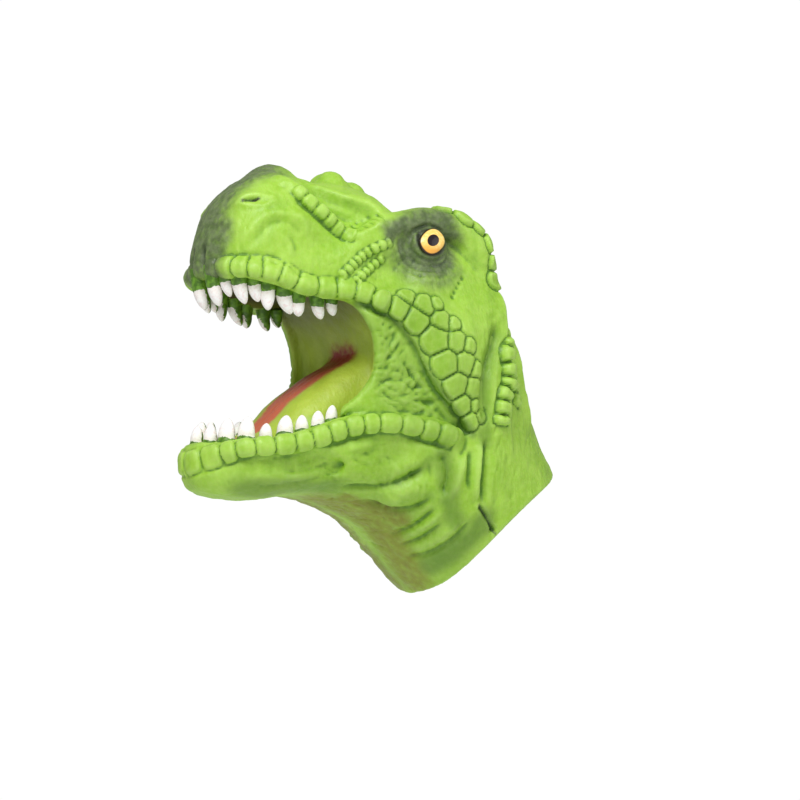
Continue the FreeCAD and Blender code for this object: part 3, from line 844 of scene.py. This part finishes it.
class Shader:
    """A node material, built from the surface back."""

    def __init__(self, name, roughness, specular=0.5):
        self.material = bpy.data.materials.new(name)
        self.material.use_nodes = True
        self.tree = self.material.node_tree
        self.surface = self.tree.nodes["Principled BSDF"]
        self.set("Roughness", roughness)
        self.set("Specular IOR Level", specular)
        self.where = self.node("TexCoord").outputs["Object"]

    def set(self, name, value):
        self.surface.inputs[name].default_value = value

    def link(self, a, b):
        self.tree.links.new(a, b)

    def feed(self, socket, value):
        """Give a socket a constant, or the output of another node."""
        if isinstance(value, (int, float, tuple)):
            socket.default_value = value
        else:
            self.link(value, socket)

    def node(self, kind, **values):
        """A new node with some of its sockets fed; a space in a socket's name is written _."""
        node = self.tree.nodes.new("ShaderNode" + kind)
        for name, value in values.items():
            self.feed(node.inputs[name.replace("_", " ")], value)
        return node

    def noise(self, size, detail=3.0, stretch=None):
        """Noise that changes over about this many millimetres, turned and scaled by stretch."""
        where = self.where
        if stretch:
            mapping = self.node("Mapping", Rotation=stretch[0], Scale=stretch[1], Vector=where)
            where = mapping.outputs["Vector"]
        return self.node("TexNoise", Scale=1 / (size * MM), Detail=detail, Vector=where).outputs["Fac"]

    def attribute(self, name):
        node = self.node("Attribute")
        node.attribute_name = name
        return node.outputs["Fac"]

    def math(self, operation, a, b):
        node = self.node("Math")
        node.operation = operation
        self.feed(node.inputs[0], a)
        self.feed(node.inputs[1], b)
        return node.outputs[0]

    def remap(self, value, low, high, out_low=0.0, out_high=1.0):
        node = self.node("MapRange", Value=value, From_Min=low, From_Max=high, To_Min=out_low,
                         To_Max=out_high)
        node.interpolation_type = "SMOOTHSTEP"
        return node.outputs["Result"]

    def mix(self, factor, a, b):
        """Two colours mixed; a mix node's colour sockets are its seventh and eighth."""
        node = self.node("Mix")
        node.data_type = "RGBA"
        for number, value in ((0, factor), (6, a), (7, b)):
            self.feed(node.inputs[number], value)
        return node.outputs[2]

    def mottle(self, size, detail, low, high, a, b):
        """Two colours in patches of about this size."""
        return self.mix(self.remap(self.noise(size, detail), low, high), a, b)

    def colour(self, value):
        self.link(value, self.surface.inputs["Base Color"])

    def bump(self, height, strength, depth, before=None):
        node = self.node("Bump", Strength=strength, Distance=depth * MM, Height=height)
        if before is not None:
            self.link(before, node.inputs["Normal"])
        return node.outputs["Normal"]


def rubber_colours(s):
    """The green rubber with its airbrushed paints, painted shade and painted light, from the skin's
    attributes.
    """
    cloud = s.remap(s.noise(16, 4), 0.35, 0.65)
    grain = s.noise(2.0, 5)
    green = s.mix(cloud, srgb(145, 191, 48), srgb(159, 202, 68))
    green = s.mix(s.remap(grain, 0.35, 0.7, 0.0, 0.22), green, srgb(182, 218, 108))
    streaks = s.noise(5, 4, ((0, 0.9, 0), (1.0, 1.0, 0.25)))
    green = s.mix(s.remap(streaks, 0.5, 0.75, 0.0, 0.35), green, srgb(118, 168, 40))
    # painted shade in the creases and painted highlight on the ridges, from the skin's curvature
    green = s.mix(s.remap(s.attribute("hollow"), 0.5, 1.0, 0.0, 0.85), green, srgb(70, 120, 20))
    green = s.mix(s.remap(s.attribute("hollow"), 0.5, 0.1, 0.0, 0.4), green, srgb(188, 224, 116))
    # painted shade from the 'shade' sprays
    green = s.mix(s.attribute("shade"), green, srgb(62, 100, 22))
    broken = s.remap(s.noise(2.6, 6), 0.25, 0.75, 0.78, 1.2)

    def spray(name, base, paint, most=1.0):
        cover = s.remap(s.math("MULTIPLY", s.attribute(name), broken), 0.0, 1.05, 0.0, most)
        return s.mix(cover, base, paint)

    green = spray("ochre", green, srgb(116, 102, 10), 0.74)
    sooty = s.mottle(3.0, 4, 0.35, 0.65, srgb(66, 78, 54), srgb(98, 108, 82))
    green = spray("airbrush", green, sooty, 0.9)
    olive = s.mottle(9, 3, 0.35, 0.65, srgb(156, 176, 52), srgb(170, 190, 64))
    olive = s.mix(s.attribute("floor"), olive, srgb(176, 200, 68))
    # painted shade up in the mouth's vault
    olive = s.mix(s.attribute("vault_shade"), olive, srgb(66, 62, 22))
    # painted shade in the creases of the mouth's lining
    olive = s.mix(s.remap(s.attribute("hollow"), 0.55, 1.0, 0.0, 0.6), olive, srgb(74, 90, 20))
    green = s.mix(s.attribute("mouth"), green, olive)
    red = s.mix(s.attribute("dark_red"), srgb(204, 96, 70), srgb(146, 22, 34))
    red_cover = s.remap(s.math("MULTIPLY", s.attribute("tongue"), broken), 0.15, 0.85, 0.0, 0.96)
    green = s.mix(red_cover, green, red)
    # dark ink: the eye's outline, and painted shade in the nostril and creases
    return s.mix(s.attribute("ink_and_crease_shade"), green, srgb(24, 26, 22))


def rubber(name):
    s = Shader(name, 0.48, 0.42)
    s.colour(rubber_colours(s))
    fine = s.bump(s.noise(0.9, 6), 0.5, 0.25)
    creases = s.noise(1.7, 4, ((0.3, 0.7, 0.2), (1.0, 1.0, 0.3)))
    s.link(s.bump(creases, 0.6, 0.5, fine), s.surface.inputs["Normal"])
    s.link(s.remap(s.noise(4, 4), 0.3, 0.7, 0.40, 0.56), s.surface.inputs["Roughness"])
    s.set("Subsurface Weight", 0.06)
    s.set("Subsurface Radius", (0.3, 1.0, 0.15))
    s.set("Subsurface Scale", 0.003)
    return s.material


def tooth_finish():
    """White paint on the outer face, with the green rubber behind it and at the gum."""
    s = Shader("tooth_paint", 0.42, 0.5)
    white = s.mottle(1.1, 3, 0.45, 0.7, srgb(255, 254, 252), srgb(248, 232, 230))
    white = s.mix(s.remap(s.attribute("root"), 0.3, 1.0, 0.0, 0.5), white, srgb(236, 226, 214))
    green = s.mottle(2, 3, 0.4, 0.6, srgb(72, 112, 24), srgb(104, 152, 36))
    edge = s.math("ADD", s.attribute("painted"), s.remap(s.noise(1.0, 3), 0.3, 0.7, -0.08, 0.08))
    s.colour(s.mix(s.remap(edge, 0.46, 0.54), green, white))
    s.link(s.bump(s.noise(0.7, 4), 0.3, 0.15), s.surface.inputs["Normal"])
    return s.material


def eye_finish():
    """A painted eye: dark rim, yellow iris with orange below, dark pupil, glossy lacquer."""
    s = Shader("eye_paint", 0.35, 0.3)
    amber = s.mottle(1.1, 4, 0.35, 0.65, srgb(254, 226, 138), srgb(252, 206, 104))
    amber = s.mix(s.attribute("lower"), amber, srgb(246, 178, 78))
    pupil = s.attribute("pupil")
    amber = s.mix(s.remap(pupil, 1.06, 0.98), amber, srgb(104, 62, 30))
    dark = s.mix(s.remap(pupil, 1.0, 0.93), amber, srgb(26, 12, 22))
    rim = s.remap(s.attribute("rim"), 0.86, 0.93)
    s.colour(s.mix(rim, dark, srgb(40, 26, 16)))
    s.set("Coat Weight", 0.22)
    s.set("Coat Roughness", 0.06)
    return s.material


# ---------------------------------------------------------------- pieces

def add_object(name, data):
    thing = bpy.data.objects.new(name, data)
    bpy.context.collection.objects.link(thing)
    return thing


def mesh_object(name, points, faces, material, attributes):
    """A smooth-shaded mesh from points in millimetres, with its paints as attributes."""
    mesh = bpy.data.meshes.new(name)
    mesh.from_pydata((np.asarray(points) * MM).tolist(), [], [list(f) for f in faces])
    mesh.polygons.foreach_set("use_smooth", [True] * len(mesh.polygons))
    mesh.materials.append(material)
    for label, values in attributes.items():
        store = mesh.attributes.new(label, "FLOAT", "POINT")
        store.data.foreach_set("value", np.asarray(values, np.float32))
    mesh.update()
    return add_object(name, mesh)


def cut_piece(whole, name, keep_front, normals):
    """The part of the skin in front of or behind the seam round the neck, closed at the seam."""
    mesh = whole.data.copy()
    mesh.name = name
    work = bmesh.new()
    work.from_mesh(mesh)
    kept_normal = work.verts.layers.float_vector.new("facing")
    for vertex, normal in zip(work.verts, normals):
        vertex[kept_normal] = normal
    parts = work.verts[:] + work.edges[:] + work.faces[:]
    bmesh.ops.bisect_plane(work, geom=parts, plane_co=NECK_AXIS * SEAM * MM, plane_no=NECK_AXIS,
                           clear_inner=keep_front, clear_outer=not keep_front)
    rim = [e for e in work.edges if e.is_boundary]
    bmesh.ops.triangle_fill(work, edges=rim, use_beauty=True)
    facing = [Vector(v[kept_normal]).normalized() for v in work.verts]
    work.verts.layers.float_vector.remove(kept_normal)
    work.to_mesh(mesh)
    work.free()
    mesh.normals_split_custom_set_from_vertices(facing)
    return add_object(name, mesh)


def jaw_share(points):
    """How far each point of the head's skin follows the jaw, from 0 to 1."""
    x, z = points[:, 0] - JAW_AXIS[0], points[:, 2] - JAW_AXIS[1]
    angle, radius = np.degrees(np.arctan2(z, x)), np.hypot(x, z)
    far = smoothstep(radius, *JAW_BLEND_REACH)
    above = ABOVE_MOUTH[0] + (ABOVE_MOUTH[1] - ABOVE_MOUTH[0]) * far
    below = BELOW_MOUTH[0] + (BELOW_MOUTH[1] - BELOW_MOUTH[0]) * far
    front = smoothstep((above - angle) / (above - below), 0, 1)
    back = smoothstep(angle, *THROAT_ANGLES)
    share = np.where(angle > THROAT_ANGLES[1], front, back)
    return share * smoothstep(points @ NECK_AXIS, *SEAM_BLEND)


def neck_share(points):
    """How far each point of the neck's skin follows the head, from 0 to 1."""
    return smoothstep(points @ NECK_AXIS, NECK_STILL, SEAM - 3)


def bend(thing, share):
    """Bake a piece's placement into its points and work out its share for each point; the share is not
    kept.
    """
    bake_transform(thing)
    points = np.array([v.co for v in thing.data.vertices]) / MM
    share(points).astype(np.float32)


def crease_shade_and_ridge_light(points, quads, normals):
    """Creases near 1, which get painted shade, ridges near 0, which get painted light, and flat skin at
    0.5.
    """
    edges = neighbours(quads)
    a, b = edges.T
    degree = neighbour_sum(np.ones(len(points)), edges)
    step = (points[b] - points[a])
    bend_a, bend_b = (step * normals[a]).sum(1), (-step * normals[b]).sum(1)
    value = (np.bincount(a, bend_a, len(points)) + np.bincount(b, bend_b, len(points))) / degree
    for _ in range(CREASE_SHADE_EVENING):
        value = 0.5 * value + 0.5 * neighbour_sum(value, edges) / degree
    return np.clip(0.5 + value / GRID_STEP ** 2 * CREASE_SHADE_GAIN, 0, 1)


def skin_pieces(clay, along, material):
    """The skin in two pieces that meet round the neck."""
    points, quads = make_skin(clay, along)
    outer = smoothstep(clay.sample(clay.field, points), -1.6, -0.6)
    mouth = (1 - smoothstep(clay.sample(clay.mouth, points), 0.8, 2.6)) * outer
    height, paint = relief_and_paint(points, clay, outer, mouth)
    points = points + point_normals(points, quads) * height[:, None]
    normals = point_normals(points, quads)
    # the skin's curvature, for painted shade in creases and painted light on ridges
    paint["hollow"] = np.where(outer > 0.5, crease_shade_and_ridge_light(points, quads, normals), 0.5)
    paint["floor"] = mouth * smoothstep(points[:, 2], *PALE_FLOOR)
    # painted shade up in the mouth's vault, under the head
    paint["vault_shade"] = mouth * (0.75 * smoothstep(points[:, 2], *DARK_VAULT[:2])
                             + 0.5 * smoothstep(points[:, 2], *DARK_VAULT[1:]))
    paint["tongue"], paint["dark_red"] = tongue_paint(points, mouth)
    whole = mesh_object("skin", points, quads, material, paint)
    head = cut_piece(whole, "head_skin", True, normals)
    neck = cut_piece(whole, "neck_skin", False, normals)
    bpy.data.objects.remove(whole)
    bend(head, jaw_share)
    bend(neck, neck_share)
    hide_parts("head_shell", "palate_lining", "cheek_web_left", "cheek_web_right",
                "mouth_fold", "throat_fold", "lower_jaw_shell", "mouth_floor_lining")
    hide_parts("neck_sleeve", "neck_fold")


def tongue_paint(points, mouth):
    """The red of the tongue, narrow in front, and how dark it is."""
    back = smoothstep(points[:, 0], *RED_LENGTH)
    half = RED_HALF[0] + (RED_HALF[1] - RED_HALF[0]) * back
    side = 1 - smoothstep(np.abs(points[:, 1]), 0.4 * half, 1.25 * half)
    front = smoothstep(points[:, 0], *RED_TIP)
    top = 1 - smoothstep(points[:, 2], *RED_TOP)
    return mouth * side * front * top, back * smoothstep(points[:, 0], *RED_DARKENS)


def ring_faces(rows, spokes, closed_row):
    """Quads between rings of points, and a fan from one ring to the last point."""
    faces = []
    for i in range(rows - 1):
        for j in range(spokes):
            a, b, k = i * spokes, (i + 1) * spokes, (j + 1) % spokes
            faces.append((a + j, a + k, b + k, b + j))
    start = closed_row * spokes
    for j in range(spokes):
        faces.append((rows * spokes, start + (j + 1) % spokes, start + j))
    return faces


def make_tooth(node, finish, rng):
    """A chunky tooth on its CAD tooth's place, painted on its outer face."""
    low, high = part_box(node)
    upper = node.startswith("upper")
    side = 1 if "left" in node else -1
    middle = np.array([low[0] + high[0], side * (low[1] + high[1])]) / 2 / MM
    radius = min(high[0] - low[0], high[1] - low[1]) / MM / 2
    tip = (low[2] if upper else high[2]) / MM
    root = (high[2] if upper else low[2]) / MM
    length = abs(tip - root)
    outward = (middle - TOOTH_CENTRE) / np.linalg.norm(middle - TOOTH_CENTRE)
    white = (WHITE_UPPER if upper else WHITE_LOWER)[int(node.split("_")[-1]) - 1]
    lean = rng.normal(0, 0.09, 2) * [1, 0.3] + [-0.05, 0]
    rings, spokes = TOOTH_MESH
    points, painted, gum = [], [], []
    for i in range(rings):
        t = i / (rings - 1)
        z = root + (tip - root) * t ** 0.8
        below = 1 - abs(z - tip) / white            # 0 where the white begins, 1 at the tip
        if below > 0:
            wide = radius * CROWN_SWELL * max(1 - below ** 2.3, 0.0) ** 0.62
        else:
            wide = radius * (ROOT_SWELL - 0.28 * below)
        for j in range(spokes):
            turn = 2 * math.pi * j / spokes
            out, across = math.cos(turn) * wide * 0.9, math.sin(turn) * wide
            drift = length * t * t
            x = middle[0] + out * outward[0] - across * outward[1] + lean[0] * drift
            y = middle[1] + out * outward[1] + across * outward[0] + lean[1] * drift
            points.append((x, side * y, z))
            facing = math.cos(turn) + 0.5 * below + 0.35
            cover = min(max(facing, -1), 1, 6 * (below - 0.10 * math.cos(turn) ** 2))
            painted.append(0.5 + 0.5 * max(cover, -1))
            gum.append(max(1 - below, 0))
    points.append((middle[0], side * middle[1], root))
    painted.append(0.0)
    gum.append(1.0)
    faces = ring_faces(rings, spokes, 0)
    work = mesh_object(node + "_paint", points, faces, finish, {"painted": painted, "root": gum})
    tidy_mesh(work)
    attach(work, "head" if upper else "lower_jaw")
    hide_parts(node)


def tidy_mesh(thing):
    work = bmesh.new()
    work.from_mesh(thing.data)
    bmesh.ops.remove_doubles(work, verts=work.verts, dist=0.02 * MM)
    bmesh.ops.recalc_face_normals(work, faces=work.faces)
    for face in work.faces:
        face.smooth = True
    work.to_mesh(thing.data)
    work.free()


def make_eye(side, clay, finish):
    """A domed almond set into the lids."""
    centre = Relief(np.zeros((1, 3)), clay).place([EYE])[0]
    slope = clay.slope(centre)
    outward = Vector(slope).normalized()
    tall = (Vector((0, 0, 1)) - outward * outward.z).normalized()
    wide = tall.cross(outward)
    tilt = math.radians(EYE_TILT)
    long_axis = wide * math.cos(tilt) + tall * math.sin(tilt)
    short_axis = outward.cross(long_axis)
    rings, spokes = EYE_MESH
    points, rim, pupil, lower = [], [], [], []
    for i in range(rings + 1):
        share = i / rings
        for j in range(spokes):
            turn = 2 * math.pi * j / spokes
            reach = 1 - 0.05 * math.cos(2 * turn) ** 2
            u = EYE_HALF[0] * share * reach * math.cos(turn)
            v = EYE_HALF[1] * share * reach * math.sin(turn)
            dome = EYE_BULGE * math.sqrt(max(1 - 0.93 * share * share, 0)) - 0.6
            spot = Vector(centre) + long_axis * u + short_axis * v + outward * dome
            points.append((spot.x, side * spot.y, spot.z))
            rim.append(share)
            pupil.append(math.hypot((u - PUPIL_PLACE[0]) / PUPIL_HALF[0],
                                    (v - PUPIL_PLACE[1]) / PUPIL_HALF[1]))
            drop = (spot - Vector(centre)).z
            lower.append(min(max((-drop - 0.6) / 3.0, 0), 1))
    back = Vector(centre) - outward * 2.5
    points.append((back.x, side * back.y, back.z))
    rim.append(1.0)
    pupil.append(3.0)
    lower.append(0.0)
    faces = ring_faces(rings + 1, spokes, rings)
    name = "left" if side > 0 else "right"
    eye = mesh_object("eye_paint_" + name, points, faces, finish,
                      {"rim": rim, "pupil": pupil, "lower": lower})
    tidy_mesh(eye)
    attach(eye, "head")
    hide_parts("eye_" + name)


def make_tongue(clay, material):
    """The tongue: a low rise on the floor of the mouth, red along its middle."""
    path = spline([(109, 29), (104, 31), (97, 34.8), (90, 41), (83, 48), (73, 56), (65, 61), (60, 67)],
                  pieces=8)
    tangents = np.gradient(path, axis=0)
    tangents /= np.linalg.norm(tangents, axis=1, keepdims=True)
    inward = np.stack([tangents[:, 1], -tangents[:, 0]], 1)
    across = np.linspace(-1, 1, 21)
    top, under = [], []
    for i, (spot, into) in enumerate(zip(path, inward)):
        t = i / (len(path) - 1)
        half = TONGUE_HALF * (0.45 + 0.55 * math.sin(math.pi * min(0.16 + 0.8 * t, 1)) ** 0.7)
        line = spot + into * np.linspace(TONGUE_SEARCH, -TONGUE_SEARCH, 120)[:, None]
        ends = math.sin(math.pi * min(max(t, 0.001), 0.999)) ** 0.5
        for s in across:
            probes = np.stack([line[:, 0], np.full(len(line), s * half), line[:, 1]], 1)
            floor = line[int(np.argmax(clay.sample(clay.field, probes) < 0))]
            middle_groove = 0.12 * math.exp(-(s / 0.12) ** 2)
            rise = (TONGUE_RISE * (1 - s * s) ** 2 - middle_groove) * ends - TONGUE_EDGE
            place = floor + into * rise
            sunk = floor - into * TONGUE_DEPTH
            top.append((place[0], s * half, place[1]))
            under.append((sunk[0], s * half * 0.96, sunk[1]))
    rows, columns = len(path), len(across)
    points = np.array(top + under)
    shift = rows * columns
    faces = []
    for i in range(rows - 1):
        for j in range(columns - 1):
            a = i * columns + j
            faces.append((a, a + 1, a + columns + 1, a + columns))
            faces.append((a + shift, a + columns + shift, a + columns + 1 + shift, a + 1 + shift))
    border = list(range(columns)) + [i * columns + columns - 1 for i in range(1, rows)]
    border += [(rows - 1) * columns + j for j in range(columns - 2, -1, -1)]
    border += [i * columns for i in range(rows - 2, 0, -1)]
    for a, b in zip(border, border[1:] + border[:1]):
        faces.append((a, a + shift, b + shift, b))
    ones = np.ones(len(points))
    red, dark = tongue_paint(points, ones)
    tongue = mesh_object("tongue_rise", points, faces, material, {
        "mouth": ones, "floor": smoothstep(points[:, 2], *PALE_FLOOR), "tongue": red, "dark_red": dark,
        "hollow": 0.5 * ones})
    tidy_mesh(tongue)
    bend(tongue, jaw_share)
    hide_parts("tongue")


# ---------------------------------------------------------------- camera, light and floor

def set_camera():
    back = Vector((math.sin(CAMERA_TURN) * math.cos(CAMERA_RISE),
                   math.cos(CAMERA_TURN) * math.cos(CAMERA_RISE), math.sin(CAMERA_RISE)))
    right = Vector((-math.cos(CAMERA_TURN), math.sin(CAMERA_TURN), 0))
    up = back.cross(right)
    camera = add_object("camera", bpy.data.cameras.new("camera"))
    camera.data.lens = CAMERA_LENS
    camera.data.sensor_width = 36
    camera.data.clip_start = 0.01
    place = back * CAMERA_DISTANCE + right * AIM_RIGHT + up * AIM_UP
    turn = Matrix((right, up, back)).transposed().to_4x4()
    camera.matrix_world = Matrix.Translation(place) @ turn
    bpy.context.scene.camera = camera


def area_light(name, place, aim, size, power):
    lamp = bpy.data.lights.new(name, "AREA")
    lamp.shape = "DISK"
    lamp.size = size
    lamp.energy = power
    thing = add_object(name, lamp)
    thing.location = place
    thing.rotation_euler = (Vector(aim) - Vector(place)).to_track_quat("-Z", "Y").to_euler()


def make_floor():
    """A plain pale floor, well below the raised puppet."""
    mesh = bpy.data.meshes.new("floor")
    work = bmesh.new()
    bmesh.ops.create_grid(work, x_segments=4, y_segments=4, size=FLOOR_HALF)
    work.to_mesh(mesh)
    work.free()
    s = Shader("floor_white", 0.9, 0.1)
    s.colour(s.mix(s.noise(400), (0.94, 0.94, 0.94, 1), (0.96, 0.96, 0.96, 1)))
    s.set("Emission Color", (1, 1, 1, 1))
    s.set("Emission Strength", FLOOR_GLOW)
    mesh.materials.append(s.material)
    floor = add_object("floor", mesh)
    floor.location.z = FLOOR_LEVEL


def studio():
    """White surroundings, brighter to the camera than as light on the puppet."""
    world = bpy.data.worlds.new("studio")
    world.use_nodes = True
    tree = world.node_tree
    ambient = tree.nodes["Background"]
    backdrop = tree.nodes.new("ShaderNodeBackground")
    for shade, strength in ((ambient, AMBIENT), (backdrop, BACKDROP)):
        shade.inputs["Color"].default_value = (1, 1, 1, 1)
        shade.inputs["Strength"].default_value = strength
    choose = tree.nodes.new("ShaderNodeMixShader")
    path = tree.nodes.new("ShaderNodeLightPath")
    tree.links.new(path.outputs["Is Camera Ray"], choose.inputs[0])
    tree.links.new(ambient.outputs[0], choose.inputs[1])
    tree.links.new(backdrop.outputs[0], choose.inputs[2])
    tree.links.new(choose.outputs[0], tree.nodes["World Output"].inputs["Surface"])
    bpy.context.scene.world = world
    bpy.context.scene.view_settings.view_transform = "Standard"
    area_light("key", (0.42, 0.42, 0.62), (0.05, 0, 0.06), 0.45, KEY_POWER)
    area_light("bounce", (0.50, 0.38, -0.25), (0.08, 0, 0.06), 0.6, BOUNCE_POWER)
    area_light("fill", (-0.35, 0.55, 0.30), (0.04, 0, 0.05), 0.5, FILL_POWER)


def main():
    clay, along = sculpt()
    green = rubber("green_rubber")
    skin_pieces(clay, along, green)
    make_tongue(clay, rubber("tongue_rubber"))
    enamel = tooth_finish()
    rng = np.random.default_rng(SEED)
    for node in sorted(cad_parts):
        if "_tooth_left_" in node:
            state = rng.bit_generator.state
            make_tooth(node, enamel, rng)
            rng.bit_generator.state = state
            make_tooth(node.replace("left", "right"), enamel, rng)
    lacquer = eye_finish()
    make_eye(1, clay, lacquer)
    make_eye(-1, clay, lacquer)
    set_camera()
    make_floor()
    studio()


main()
